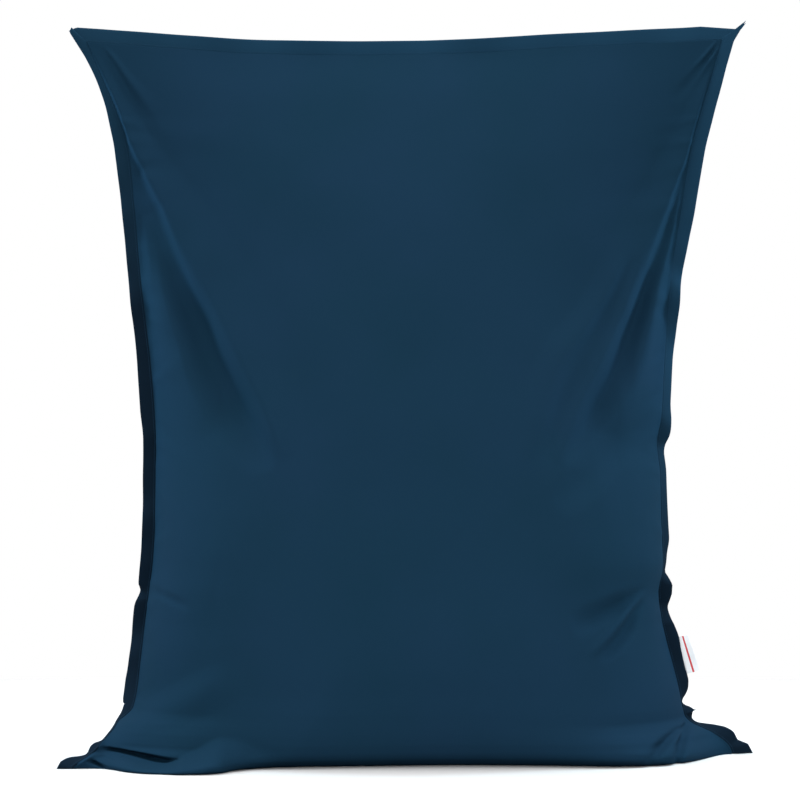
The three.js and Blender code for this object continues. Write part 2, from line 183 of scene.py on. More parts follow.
# Folds: each is a path of points down its crest, with the half widths to its left and right and its
# height there, and round says how round the crest is. A negative height is a valley.
foldPaths = {
    "front": [
        {"name": "left pull line", "round": 0.12, "path": [
            [-638, 1434, 6, 12, 0],
            [-616, 1385, 8, 20, 5],
            [-594, 1343, 9, 26, 9],
            [-568, 1285, 10, 36, 12],
            [-531, 1200, 14, 58, 15],
            [-486, 1110, 16, 80, 18],
            [-455, 1039, 18, 100, 19],
            [-418, 957, 19, 116, 19],
            [-377, 874, 20, 124, 20],
            [-341, 791, 21, 124, 19],
            [-303, 714, 22, 110, 17],
            [-268, 650, 22, 84, 12],
            [-240, 590, 22, 50, 0],
        ]},
        {"name": "left hollow", "round": 0.8, "path": [
            [-500, 1080, 10, 12, 0],
            [-472, 1030, 26, 22, -2],
            [-444, 958, 44, 34, -12],
            [-403, 874, 58, 40, -28],
            [-366, 793, 72, 42, -34],
            [-326, 716, 80, 42, -36],
            [-292, 650, 72, 38, -22],
            [-258, 580, 50, 34, 0],
        ]},
        {"name": "left edge ridge", "round": 0.6, "path": [
            [-530, 1110, 8, 8, 0],
            [-516, 1042, 16, 24, 4],
            [-498, 960, 26, 36, 10],
            [-476, 877, 38, 54, 20],
            [-450, 797, 54, 62, 18],
            [-414, 716, 56, 60, 9],
            [-384, 650, 50, 50, 0],
        ]},
        {"name": "left corner hollow", "round": 0.5, "path": [
            [-622, 1441, 8, 8, 0],
            [-606, 1424, 10, 11, -4],
            [-590, 1400, 12, 14, -7],
            [-572, 1372, 14, 16, -6],
            [-545, 1326, 18, 22, -4],
            [-480, 1210, 22, 30, 0],
        ]},
        {"name": "left corner ridge", "round": 0.4, "path": [
            [-612, 1440, 6, 10, 0],
            [-588, 1414, 7, 14, 3],
            [-560, 1376, 10, 18, 3.5],
            [-490, 1290, 16, 30, 0],
        ]},
        {"name": "right pull line", "round": 0.12, "path": [
            [646, 1434, 12, 4, 0],
            [630, 1378, 22, 5, 5],
            [612, 1320, 32, 6, 9],
            [588, 1240, 46, 8, 12],
            [543, 1125, 66, 13, 17],
            [511, 1043, 86, 16, 19],
            [479, 961, 98, 18, 21],
            [449, 878, 108, 19, 22],
            [412, 796, 112, 20, 21],
            [372, 716, 98, 21, 18],
            [336, 650, 80, 21, 12],
            [302, 590, 60, 21, 0],
        ]},
        {"name": "right edge ridge", "round": 0.5, "path": [
            [576, 1190, 6, 5, 0],
            [562, 1125, 10, 6, 4],
            [546, 1043, 18, 9, 9],
            [522, 962, 30, 22, 16],
            [502, 878, 42, 34, 28],
            [472, 797, 56, 50, 23],
            [440, 716, 60, 56, 14],
            [410, 650, 50, 50, 0],
        ]},
        {"name": "right hollow", "round": 0.8, "path": [
            [548, 1060, 12, 12, 0],
            [530, 1010, 20, 18, -4],
            [501, 961, 30, 34, -11],
            [470, 878, 34, 44, -20],
            [436, 796, 38, 52, -27],
            [394, 716, 40, 60, -30],
            [356, 650, 38, 54, -14],
            [326, 590, 36, 46, 0],
        ]},
        {"name": "faint middle ridge", "round": 0.5, "path": [
            [444, 1010, 30, 16, 0],
            [420, 954, 40, 20, 4],
            [370, 873, 46, 24, 7],
            [310, 794, 50, 30, 8],
            [280, 715, 50, 30, 6],
            [262, 656, 44, 28, 4],
            [240, 590, 30, 24, 0],
        ]},
        {"name": "middle hollow", "round": 0.6, "path": [
            [470, 1010, 16, 14, 0],
            [446, 954, 24, 20, -6],
            [408, 873, 30, 26, -9],
            [369, 794, 34, 30, -10],
            [332, 715, 34, 30, -11],
            [308, 656, 30, 28, -8],
            [280, 590, 26, 26, 0],
        ]},
        {"name": "right corner pleat", "round": 0.25, "path": [
            [655, 1452, 5, 5, -2],
            [644, 1440, 6, 6, -9],
            [630, 1421, 7, 7, -11],
            [614, 1402, 9, 9, -8],
            [592, 1374, 14, 14, -5],
            [550, 1322, 20, 20, 0],
        ]},
        {"name": "upper lip of the pleat", "round": 0.3, "path": [
            [646, 1448, 4, 4, 0],
            [634, 1432, 8, 5, 5],
            [618, 1413, 10, 6, 6],
            [600, 1391, 12, 8, 3],
            [576, 1362, 14, 12, 0],
        ]},
        {"name": "lower lip of the pleat", "round": 0.3, "path": [
            [650, 1441, 4, 4, 0],
            [641, 1427, 5, 7, 6],
            [627, 1409, 6, 10, 7],
            [609, 1385, 8, 12, 4],
            [584, 1352, 12, 14, 0],
        ]},
        {"name": "right corner hollow", "round": 0.4, "path": [
            [652, 1446, 5, 3, 0],
            [645, 1424, 6, 4, -5],
            [638, 1400, 6, 4, -5],
            [624, 1350, 7, 4, 0],
        ]},
        {"name": "waist crease", "round": 0.7, "path": [
            [500, 720, 36, 36, 0],
            [430, 630, 44, 44, -13],
            [360, 560, 46, 46, -12],
            [300, 500, 40, 40, 0],
        ]},
        {"name": "knee ridge", "round": 0.25, "path": [
            [486, 340, 8, 8, 0],
            [462, 316, 12, 9, 9],
            [425, 277, 15, 11, 16],
            [395, 246, 16, 12, 13],
            [366, 216, 16, 15, 0],
        ]},
        {"name": "upper knee hollow", "round": 0.5, "path": [
            [488, 342, 12, 8, 0],
            [450, 325, 22, 14, -12],
            [415, 308, 30, 20, -22],
            [376, 290, 34, 26, -18],
            [330, 272, 36, 34, 0],
        ]},
        {"name": "lower knee hollow", "round": 0.4, "path": [
            [480, 322, 8, 10, 0],
            [463, 303, 11, 18, -12],
            [436, 262, 13, 28, -22],
            [410, 234, 13, 26, -17],
            [384, 208, 14, 18, 0],
        ]},
        {"name": "soft shin ridge", "round": 0.8, "path": [
            [-570, 66, 20, 20, 0],
            [-500, 96, 36, 30, 8],
            [-420, 132, 46, 40, 12],
            [-310, 182, 50, 46, 0],
        ]},
        {"name": "left seam crease", "round": 0.5, "path": [
            [-506, 337, 5, 6, 0],
            [-486, 331, 8, 9, -8],
            [-456, 322, 9, 11, -9],
            [-414, 308, 12, 12, 0],
        ]},
        {"name": "left foot cleft", "round": 0.35, "path": [
            [-599, 37, 4, 5, -10],
            [-582, 33, 4, 5, -26],
            [-560, 29.5, 4, 6, -36],
            [-535, 26, 5, 7, -44],
            [-509, 22, 6, 9, -50],
            [-489, 19, 6.5, 10, -46],
            [-469, 16.5, 6.5, 10, -32],
            [-447, 15, 6, 9, -14],
            [-422, 14, 5, 6, 0],
        ]},
        {"name": "left foot dent", "round": 0.5, "path": [
            [-592, 23, 5, 5, 0],
            [-578, 20, 5, 5, -10],
            [-564, 17, 5, 5, -9],
            [-548, 14, 5, 5, 0],
        ]},
        {"name": "left foot overlap", "round": 0.3, "path": [
            [-626, 29, 4, 5, -8],
            [-616, 20.5, 4, 6, -22],
            [-602, 13, 4, 6, -26],
            [-590, 7.5, 4, 6, -22],
            [-574, 2, 4, 6, -6],
        ]},
        {"name": "right foot cleft", "round": 0.3, "path": [
            [567, 63, 6, 6, -8],
            [543, 55, 14, 9, -24],
            [522, 45, 18, 10, -30],
            [505, 33, 20, 12, -28],
            [494, 22, 20, 12, -20],
            [480, 4, 18, 14, 0],
        ]},
        {"name": "right foot inner cleft", "round": 0.3, "path": [
            [575, 68, 8, 8, -10],
            [562, 53, 11, 15, -28],
            [552, 39, 12, 18, -36],
            [545, 26, 12, 18, -34],
            [540, 11, 12, 16, -24],
            [538, 0, 11, 12, -12],
        ]},
    ],
    "back": [
        {"name": "left pull line", "round": 0.35, "path": [
            [-636, 1430, 8, 12, 0],
            [-575, 1290, 18, 42, 9],
            [-480, 1080, 40, 90, 21],
            [-370, 850, 56, 110, 22],
            [-290, 660, 56, 90, 0],
        ]},
        {"name": "left hollow", "round": 0.8, "path": [
            [-536, 1160, 20, 24, 0],
            [-450, 960, 44, 44, -16],
            [-390, 800, 48, 48, -15],
            [-330, 680, 44, 44, 0],
        ]},
        {"name": "right pull line", "round": 0.35, "path": [
            [642, 1430, 12, 8, 0],
            [590, 1270, 44, 16, 10],
            [500, 1040, 96, 40, 23],
            [370, 780, 118, 56, 22],
            [270, 600, 90, 50, 0],
        ]},
        {"name": "right hollow", "round": 0.8, "path": [
            [556, 1140, 22, 18, 0],
            [470, 940, 44, 40, -17],
            [400, 800, 46, 46, -16],
            [340, 690, 42, 42, 0],
        ]},
        {"name": "right knee ridge", "round": 0.35, "path": [
            [516, 436, 30, 30, 0],
            [420, 370, 42, 42, 14],
            [312, 296, 40, 40, 0],
        ]},
        {"name": "left knee ridge", "round": 0.35, "path": [
            [-516, 356, 30, 30, 0],
            [-430, 280, 42, 42, 14],
            [-332, 194, 40, 40, 0],
        ]},
        {"name": "right foot cleft", "round": 0.5, "path": [
            [596, 88, 20, 16, -8],
            [510, 60, 40, 30, -20],
            [410, 26, 40, 30, 0],
        ]},
        {"name": "left foot cleft", "round": 0.5, "path": [
            [-582, 88, 16, 20, -8],
            [-500, 54, 30, 40, -20],
            [-410, 16, 30, 40, 0],
        ]},
    ],
}


# How far the folds lift a panel at each (x, z): along each path, a tent across it with a rounded top,
# raised to the power 1.5 so that its feet run out level
def foldRise(folds, x, z):
    rise = np.zeros_like(x)
    for fold in folds:
        path = np.array(fold["path"], float)
        chord = path[-1, :2] - path[0, :2]
        length = np.linalg.norm(chord)
        way = chord / length
        steps = path[:, :2] - path[0, :2]
        turns = makeTable("t off left right rise", np.column_stack([
            steps @ way / length,
            steps[:, 1] * way[0] - steps[:, 0] * way[1],
            path[:, 2:],
        ]))
        run = ((x - path[0, 0]) * way[0] + (z - path[0, 1]) * way[1]) / length
        t = np.clip(run, 0, 1)
        aside = (z - path[0, 1]) * way[0] - (x - path[0, 0]) * way[1] - readTable(turns, "off", t, "t")
        left, right = readTable(turns, "left", t, "t"), readTable(turns, "right", t, "t")
        half = np.where(aside < 0, left, right)
        r = np.clip(np.hypot(aside, (run - t) * length) / half, 0, 1)
        c = fold["round"]
        tent = 1 - (np.sqrt(r**2 + c**2) - c) / (math.sqrt(1 + c**2) - c)
        rise += readTable(turns, "rise", t, "t") * tent**1.5
    return rise


# A round-nosed lip on the floor: reach x (1 - (z / height)^2)^soft below its height
def rollReach(x, z):
    height = readTable(footRoll, "height", x, key="x")
    reach = readTable(footRoll, "reach", x, key="x")
    soft = readTable(footRoll, "soft", x, key="x")
    inside = np.clip(1 - (z / height) ** 2, 0, 1)
    return np.where(z < height, reach * inside**soft, 0)


# Points of one panel: x runs evenly between the seams, and y is the seam's own y plus the swell
# (1 - |across|^square)^sharp, with the folds and the lip on the floor added
def panelForm(face, across, z):
    at = {name: readTable(sections, name, z) for name in sections if name != "z"}
    x = (at["leftX"] + at["rightX"]) / 2 + across * (at["rightX"] - at["leftX"]) / 2
    outward = -1 if face == "front" else 1
    edge = np.abs(across)
    swell = (1 - edge ** at["square"]) ** at["sharp"]
    seamY = np.where(across < 0, at["leftY"], at["rightY"]) * edge ** bagForm["seamPull"]
    nearSeam = easeBetween(1 - edge, 0, bagForm["foldStart"])
    fold = foldRise(foldPaths[face], x, z) * nearSeam
    rise = np.maximum(fold, -bagForm["deepestValley"] * at[face] * swell)
    roll = rollReach(x, z) * nearSeam if face == "front" else 0
    y = seamY + outward * (bagForm["edgeHalf"] + at[face] * swell + rise + roll)
    sag = readTable(topSeam, "z", x, key="x") - bagForm["topZ"]
    lift = easeBetween(z, bagForm["topBlendStart"], bagForm["topZ"])
    return np.stack([x, y, z + sag * lift], axis=-1)


# Heights of the rows, closer together at the floor and the top: t - crowding sin(2 pi t) / (2 pi)
def rowHeights(count, crowding):
    t = np.linspace(0, 1, count)
    return bagForm["topZ"] * (t - crowding * np.sin(2 * np.pi * t) / (2 * np.pi))


# Places of the columns from -1 to 1, closer together towards the seams
def columnPlaces(count, crowding):
    t = np.linspace(-1, 1, count)
    return crowding * np.sin(np.pi / 2 * t) + (1 - crowding) * t


# Distance run along a line or a grid of points, in the direction of one of its axes
def runAlong(points, axis):
    steps = np.linalg.norm(np.diff(points, axis=axis), axis=-1)
    start = np.zeros_like(np.take(steps, [0], axis=axis))
    return np.concatenate([start, np.cumsum(steps, axis=axis)], axis=axis)


# Unit normals of a grid: the cross product of its two directions, turned to the asked side
def gridNormals(points, outward):
    down = np.gradient(points, axis=0)
    over = np.gradient(points, axis=1)
    normals = np.cross(over, down)
    normals /= np.maximum(np.linalg.norm(normals, axis=-1, keepdims=True), 1e-9)
    return normals * outward


# Fine relief of the cloth, added along its normals

reliefForm = {
    "puckerStep": 46.0,  # usual distance between the seam's puckers
    "puckerPlace": (0.1, 0.9),  # where in its step a pucker may start
    "puckersBetween": (110.0, 1330.0),
    "puckerRise": (1.2, 3.6),
    "puckerSigns": (1, 1, -1),  # two ridges for each hollow
    "puckerLength": (34.0, 120.0),
    "puckerSlope": (-0.55, 0.35),
    "puckerHalf": (7.0, 13.0),
    "puckerWidening": 0.2,  # added half width for each millimetre from the seam
    "puckerStart": 5.0,
    "waves": 16,
    "waveRise": 1.1,
    "waveLength": (170.0, 420.0),
    "wavesFrom": (60.0, 420.0),  # heights over which the waves set in
    "wavesTo": (900.0, 1380.0),  # and over which they die out
    "clearOfSeam": 8.0,
    "clearOfFloor": (20.0, 90.0),
    "clearOfTop": 1400.0,
}


# Puckers that the seam's thread draws into the cloth: ridges that start at the seam, widen and fade
# with the distance from it, and slope a little up or down. Each is (1 - r^2)^2 across and
# e^(-distance / length) x distance / (distance + start) along.
def seamPuckers(distance, height):
    rise = np.zeros_like(distance)
    low, high = reliefForm["puckersBetween"]
    count = int((high - low) / reliefForm["puckerStep"])
    starts = np.arange(count) + rng.uniform(*reliefForm["puckerPlace"], count)
    for place in low + starts * (high - low) / count:
        tall = rng.uniform(*reliefForm["puckerRise"]) * rng.choice(reliefForm["puckerSigns"])
        length = rng.uniform(*reliefForm["puckerLength"])
        slope = rng.uniform(*reliefForm["puckerSlope"])
        half = rng.uniform(*reliefForm["puckerHalf"]) + reliefForm["puckerWidening"] * distance
        r = np.clip(np.abs(height - place - slope * distance) / half, 0, 1)
        ridge = tall * (1 - r**2) ** 2 * np.exp(-distance / length)
        rise += ridge * distance / (distance + reliefForm["puckerStart"])
    return rise


# Long shallow unevenness of cloth over beads: a sum of sine waves in random directions
def softWaves(u, v):
    rise = np.zeros_like(u)
    for number in range(reliefForm["waves"]):
        turn = rng.uniform(0, np.pi)
        length = rng.uniform(*reliefForm["waveLength"])
        phase = rng.uniform(0, 2 * np.pi)
        rise += np.sin(2 * np.pi * (u * np.cos(turn) + v * np.sin(turn)) / length + phase)
    return reliefForm["waveRise"] * rise / math.sqrt(reliefForm["waves"] / 2)


# One panel's points, with the relief along their normals, and its cloth coordinates in millimetres:
# the distance from the middle along a row, and from the floor along a column
def panelGrid(face):
    rows = rowHeights(bagForm["rows"], bagForm["rowCrowding"])
    columns = columnPlaces(bagForm["columns"], bagForm["columnCrowding"])
    across, z = np.meshgrid(columns, rows)
    points = panelForm(face, across, z)
    fromLeft = runAlong(points, 1)
    fromRight = fromLeft[:, -1:] - fromLeft
    upwards = runAlong(points, 0)
    normals = gridNormals(points, 1 if face == "front" else -1)
    belly = easeBetween(z, *reliefForm["wavesFrom"]) * (1 - easeBetween(z, *reliefForm["wavesTo"]))
    relief = softWaves(fromLeft, upwards) * belly
    relief += seamPuckers(fromLeft, z)
    relief += seamPuckers(fromRight, z)
    offSeam = easeBetween(np.minimum(fromLeft, fromRight), 0, reliefForm["clearOfSeam"])
    atEdges = offSeam * easeBetween(z, *reliefForm["clearOfFloor"])
    atTop = 1 - easeBetween(z, reliefForm["clearOfTop"], bagForm["topZ"])
    points = points + normals * (relief * atEdges * atTop)[..., None]
    middle = fromLeft - fromLeft[:, -1:] / 2
    return points, np.stack([middle, upwards], axis=-1)


# Meshes

# A mesh object from points in the tables' millimetres, its faces as lists of point numbers, and a
# cloth coordinate for each point
def meshPiece(name, points, faces, clothUv=None):
    mesh = bpy.data.meshes.new(name)
    placed = points.reshape(-1, 3) * toMetres + frameShift
    mesh.from_pydata(placed.tolist(), [], faces)
    if clothUv is not None:
        layer = mesh.uv_layers.new(name="clothGrid")
        corners = np.zeros(len(mesh.loops), int)
        mesh.loops.foreach_get("vertex_index", corners)
        layer.data.foreach_set("uv", (clothUv.reshape(-1, 2)[corners] * toMetres).ravel())
    mesh.polygons.foreach_set("use_smooth", [True] * len(mesh.polygons))
    mesh.validate()
    piece = bpy.data.objects.new(name, mesh)
    bpy.context.scene.collection.objects.link(piece)
    return piece


# Faces between neighbouring rings of a stack, each ring closed on itself
def ringFaces(rings, sides):
    ring, side = np.meshgrid(np.arange(rings - 1), np.arange(sides), indexing="ij")
    a = ring * sides + side
    b = ring * sides + (side + 1) % sides
    return np.stack([a, b, b + sides, a + sides], axis=-1).reshape(-1, 4)


# The faces of a stack of rings, with one more face on each end
def cappedFaces(rings, sides):
    ends = [list(range(sides))[::-1], list(range((rings - 1) * sides, rings * sides))]
    return ringFaces(rings, sides).tolist() + ends


# The bag: rings of front and back points, a flat foot on the floor and the pinched top seam
def makeBag():
    front, frontUv = panelGrid("front")
    back, backUv = panelGrid("back")
    backUv = backUv * [-1, 1] + [bagForm["backCloth"], 0]
    rings = np.concatenate([front, back[:, ::-1]], axis=1)
    clothUv = np.concatenate([frontUv, backUv[:, ::-1]], axis=1)
    count, sides = rings.shape[:2]
    faces = ringFaces(count, sides)
    i = np.arange(sides // 2 - 1)
    opposite = sides - 1 - i
    foot = np.stack([i, opposite, opposite - 1, i + 1], axis=-1)
    top = np.stack([i, i + 1, opposite - 1, opposite], axis=-1) + (count - 1) * sides
    return meshPiece("bag_cloth", rings, np.concatenate([faces, foot, top]).tolist(), clothUv)


# The flange

flangeForm = {
    "width": 29.0,
    "half": 1.5,  # half its thickness, two layers of cloth
    "overlap": 1.6,  # how far it starts inside the seam
    "stations": 330,
    "crowding": 0.6,
    "freeReach": (18.0, 24.0),  # reach from which a side flange stands free of the panel
    "freeHeight": (130.0, 220.0),
    "freeShare": 0.8,  # share of its turn backwards that it loses there
    "freeSway": 0.8,
    "swayLength": 90.0,
    "flatHeight": (1200.0, 1290.0),  # heights over which it is drawn flat towards the corner
    "flatShare": 0.8,
    "lean": 9.0,  # degrees that the top flange leans forwards and backwards
    "leanLength": 170.0,
    "offFloor": 0.6,
}
# The tips of the outer edges: the place along each edge where it leaves for the tip, and the points
# it then runs through, each with its place along, x, y and z. A place along is z on the sides and -z
# at the right-hand foot, x at the top right and -x at the top left.
flangeTips = {
    "leftSide": (1425, [(1442, -677, 0, 1468), (1446, -672, 0, 1477)]),
    "rightSide": (1400, [(1424, 675, -0.5, 1449), (1446, 700, 0, 1491)]),
    "rightFoot": (-16, [(-7, 703, 13, 21), (0, 713, 14, 2)]),
    "topLeft": (612, [(637, -662, 2, 1477), (641, -678, 2.5, 1470)]),
    "topRight": (610, [(640, 690, 1.5, 1473), (652, 702, 1, 1489)]),
}
# How far each side flange reaches out from the seam, as seen from the front
leftFlange = makeTable(
    "z out",
    [
        [0, 29],
        [8, 16],
        [16, 6.5],
        [21, 3.5],
        [26, 8.5],
        [31, 11.5],
        [36, 10.5],
        [41, 6],
        [46, 2],
        [56, 3],
        [66, 4],
        [80, 5.5],
        [92, 16],
        [104, 22.5],
        [120, 26],
        [150, 27],
        [181, 25],
        [221, 24.5],
        [262, 25.5],
        [298, 26],
        [330, 19],
        [345, 24],
        [394, 26],
        [576, 26],
        [638, 26],
        [700, 29],
        [760, 28.5],
        [840, 26.5],
        [942, 26],
        [1074, 26],
        [1216, 28],
        [1267, 25],
        [1303, 21],
        [1340, 16.5],
        [1382, 14],
        [1425, 16],
        [1446, 21],
    ],
)
rightFlange = makeTable(
    "z out",
    [
        [0, 29],
        [8, 27],
        [16, 22],
        [26, 26],
        [36, 23],
        [43, 17],
        [54, 7.5],
        [60, 4],
        [66, 7],
        [72, 18],
        [80, 26],
        [90, 18],
        [98, 6],
        [104, 2.5],
        [110, 5],
        [118, 12.5],
        [132, 20.5],
        [150, 24],
        [170, 23],
        [201, 24],
        [231, 27],
        [256, 24],
        [272, 20],
        [292, 17],
        [310, 22],
        [329, 28],
        [345, 28],
        [360, 20],
        [374, 8],
        [404, 10],
        [440, 16],
        [556, 14],
        [607, 14],
        [658, 24],
        [719, 18],
        [755, 18],
        [800, 18],
        [861, 21],
        [922, 23.5],
        [962, 23],
        [1054, 26],
        [1110, 28],
        [1200, 29],
        [1267, 28],
        [1330, 26],
        [1405, 24],
        [1451, 24],
    ],
)

# The strip's section from the seam to its outer edge: share of the width, and half thickness as a
# share of the full one. The two layers are pressed at the stitching and rounded at the edge.
stripSection = makeTable(
    "share half",
    [
        [0.0, 0.9],
        [0.1, 0.75],
        [0.17, 0.62],
        [0.24, 0.8],
        [0.5, 0.95],
        [0.78, 0.92],
        [0.92, 1.0],
        [0.985, 0.7],
        [1.0, 0.2],
    ],
)


# Unit vectors along the last axis
def unit(vectors):
    return vectors / np.maximum(np.linalg.norm(vectors, axis=-1, keepdims=True), 1e-9)


# Slow wandering between -1 and 1 along a length: the mean of three sine waves, the shortest length
# and 1.7 and 2.9 times as long
def wander(at, shortest):
    waves = sum(np.sin(2 * np.pi * at / (shortest * k) + rng.uniform(0, 6.3)) for k in (1, 1.7, 2.9))
    return waves / 3


# A side flange: points of the seam and of its outer edge. The edge lies the table's reach out from
# the seam, and what is left of the width, sqrt(width^2 - reach^2), behind it. Where the flange stands
# free, and under the upper corner, it turns back less. Then it runs to its tips.
def sideFlange(side, reachTable, tips):
    z = rowHeights(flangeForm["stations"], flangeForm["crowding"])
    seam = panelForm("front", np.full_like(z, side), z) + [0, bagForm["edgeHalf"], 0]
    up = unit(np.gradient(seam, axis=0) * [1, 0, 1])
    out = np.stack([side * up[:, 2], 0 * z, -side * up[:, 0]], axis=-1)
    out[0] = [side, 0, 0]
    reach = np.minimum(readTable(reachTable, "out", z), flangeForm["width"])
    free = easeBetween(reach, *flangeForm["freeReach"]) * easeBetween(z, *flangeForm["freeHeight"])
    sway = flangeForm["freeShare"] + flangeForm["freeSway"] * wander(z, flangeForm["swayLength"])
    flat = flangeForm["flatShare"] * easeBetween(z, *flangeForm["flatHeight"])
    behind = np.sqrt(flangeForm["width"] ** 2 - reach**2) * (1 - free * sway) * (1 - flat)
    edge = seam + out * reach[:, None] + np.array([0, 1, 0]) * behind[:, None]
    for tip, direction in tips.items():
        edge = drawToTip(edge, direction * z, *flangeTips[tip])
    return seam, edge


# An edge that leaves at a place along it and runs straight through the tip's points
def drawToTip(edge, along, start, points):
    first = edge[np.argmin(np.abs(along - start))]
    places = [start] + [point[0] for point in points]
    through = np.array([first] + [point[1:] for point in points])
    drawn = np.stack([np.interp(along, places, through[:, i]) for i in range(3)], axis=-1)
    return np.where((along > start)[:, None], drawn, edge)


# The top flange, upright over the top seam, wavering a little, and drawn out to both tips
def topFlange():
    across = columnPlaces(flangeForm["stations"], flangeForm["crowding"])
    seam = panelForm("front", across, np.full_like(across, bagForm["topZ"])) * [1, 0, 1]
    along = unit(np.gradient(seam, axis=0))
    up = np.stack([-along[:, 2], 0 * across, along[:, 0]], axis=-1)
    lean = np.radians(flangeForm["lean"]) * wander(seam[:, 0], flangeForm["leanLength"])
    way = up * np.cos(lean)[:, None] + np.array([0, 1, 0]) * np.sin(lean)[:, None]
    edge = seam + way * flangeForm["width"]
    edge = drawToTip(edge, -seam[:, 0], *flangeTips["topLeft"])
    return seam, drawToTip(edge, seam[:, 0], *flangeTips["topRight"])


# A closed strip from the seam to its outer edge: each ring goes out along one face of the section and
# back along the other, and a face closes each end
def makeStrip(name, seam, edge):
    way = unit(edge - seam)
    width = np.linalg.norm(edge - seam, axis=-1)
    normal = unit(np.cross(unit(np.gradient(seam, axis=0)), way))
    share, half = stripSection["share"], stripSection["half"] * flangeForm["half"]
    shares = np.concatenate([share, share[::-1]])
    sides = np.concatenate([-half, half[::-1]])
    reach = shares * (width[:, None] + flangeForm["overlap"]) - flangeForm["overlap"]
    rings = seam[:, None] + way[:, None] * reach[..., None] + normal[:, None] * sides[:, None]
    rings[..., 2] = np.maximum(rings[..., 2], flangeForm["offFloor"])
    run = runAlong(seam, 0)
    clothUv = np.stack([reach, np.repeat(run[:, None], len(shares), axis=1)], axis=-1)
    return meshPiece(name, rings, cappedFaces(*rings.shape[:2]), clothUv)


# The stitching along the seam

threadForm = {
    "pitch": 5.0,
    "length": 4.0,
    "radius": 0.36,
    "fullLength": 0.8,  # share of the length that has the full radius
    "endRadius": 0.4,  # share of the radius
    "fromSeam": 3.2,
    "pressed": 0.62,  # share of the flange's thickness under the stitches
    "proud": 0.4,  # how far a stitch's middle stands off the cloth, share of its radius
    "sides": 6,
}


# Rounded rods along the seam, one for each stitch on both faces of the flange: rings of a small radius
# at the ends and the full one between, laid along the seam's direction
def stitchPoints(seam, edge):
    run = runAlong(seam, 0)
    places = np.arange(threadForm["pitch"], run[-1] - threadForm["pitch"], threadForm["pitch"])
    middle = np.stack([np.interp(places, run, seam[:, i]) for i in range(3)], axis=-1)
    out = unit(np.stack([np.interp(places, run, (edge - seam)[:, i]) for i in range(3)], axis=-1))
    along = unit(np.gradient(middle, axis=0))
    normal = unit(np.cross(along, out))
    lift = flangeForm["half"] * threadForm["pressed"] + threadForm["radius"] * threadForm["proud"]
    centres = middle + out * threadForm["fromSeam"]
    centres = np.concatenate([centres + normal * lift, centres - normal * lift])
    along, out, normal = (np.concatenate([axis, axis]) for axis in (along, out, normal))
    angle = np.linspace(0, 2 * np.pi, threadForm["sides"], endpoint=False)
    full, tip = threadForm["fullLength"], threadForm["endRadius"]
    ends = np.array([-1, -full, full, 1]) * threadForm["length"] / 2
    radii = np.array([tip, 1, 1, tip]) * threadForm["radius"]
    rods = centres[:, None, None] + along[:, None, None] * ends[:, None, None]
    ring = out[:, None, None] * np.cos(angle)[:, None] + normal[:, None, None] * np.sin(angle)[:, None]
    return rods + ring * radii[:, None, None]


# All the stitches as one piece: rods of four rings, closed at both ends
def makeStitches(name, runs):
    rods = np.concatenate([stitchPoints(seam, edge) for seam, edge in runs])
    count, rings, sides = rods.shape[:3]
    tube = ringFaces(rings, sides)
    starts = np.arange(count) * rings * sides
    walls = (tube[None] + starts[:, None, None]).reshape(-1, 4)
    cap = np.arange(sides)
    caps = np.concatenate([starts[:, None] + cap[::-1], starts[:, None] + cap + (rings - 1) * sides])
    return meshPiece(name, rods, walls.tolist() + caps.tolist())


# The label

labelForm = {
    "innerTop": (559.0, 237.0),  # corners as (x, z)
    "innerFoot": (579.0, 162.6),
    "outerTop": (581.4, 241.4),
    "outerFoot": (605.6, 170.0),
    "half": 0.6,  # half the thickness of the folded tape
    "corner": 3.0,
    "loopStart": 0.975,  # share of the width at which the loop turns back
    "loopPoints": 9,
    "curl": 1.6,
    "curlWaves": 2.2,  # half waves down the label
    "across": 20,
    "along": 44,
}


# A folded tape: across it runs out along one face and back along the other, its loop rounded at the
# outer edge. Places are a blend of the four corners, its outer corners are rounded to a circle's arc,
# and its free edge curls by curl x share^2 x cos(waves pi v).
def makeLabel():
    low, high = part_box("label")
    depth = ((low.y + high.y) / 2 - frameShift[1]) / toMetres
    names = ("innerTop", "innerFoot", "outerTop", "outerFoot")
    innerTop, innerFoot, outerTop, outerFoot = (np.array(labelForm[name]) for name in names)
    turn = np.linspace(0, np.pi, labelForm["loopPoints"])
    flat = np.linspace(0, 1, labelForm["across"] // 2 + 1)[:-1]
    loop = labelForm["loopStart"]
    u = np.concatenate([flat * loop, loop + (1 - loop) * np.sin(turn), loop * flat[::-1]])
    side = np.concatenate([0 * flat - 1, -np.cos(turn), 0 * flat + 1]) * labelForm["half"]
    v = (1 - np.cos(np.linspace(0, np.pi, labelForm["along"]))) / 2
    uGrid, vGrid = np.meshgrid(u, v)
    length = np.linalg.norm(outerFoot - outerTop)
    width = np.linalg.norm(outerTop - innerTop)
    corner = labelForm["corner"]
    intoCorner = np.clip(corner - np.minimum(vGrid, 1 - vGrid) * length, 0, None)
    bite = corner - np.sqrt(np.clip(corner**2 - intoCorner**2, 0, None))
    uGrid = uGrid * (1 - bite / width)
    inner = innerTop + (innerFoot - innerTop) * vGrid[..., None]
    outer = outerTop + (outerFoot - outerTop) * vGrid[..., None]
    place = inner + (outer - inner) * uGrid[..., None]
    curl = labelForm["curl"] * uGrid**2 * np.cos(labelForm["curlWaves"] * np.pi * vGrid)
    points = np.stack([place[..., 0], depth + side + curl, place[..., 1]], axis=-1)
    clothUv = np.stack([uGrid * width, vGrid * length], axis=-1)
    piece = meshPiece("label_tape", points, cappedFaces(*points.shape[:2]), clothUv)
    return piece, (width, length)


# Materials

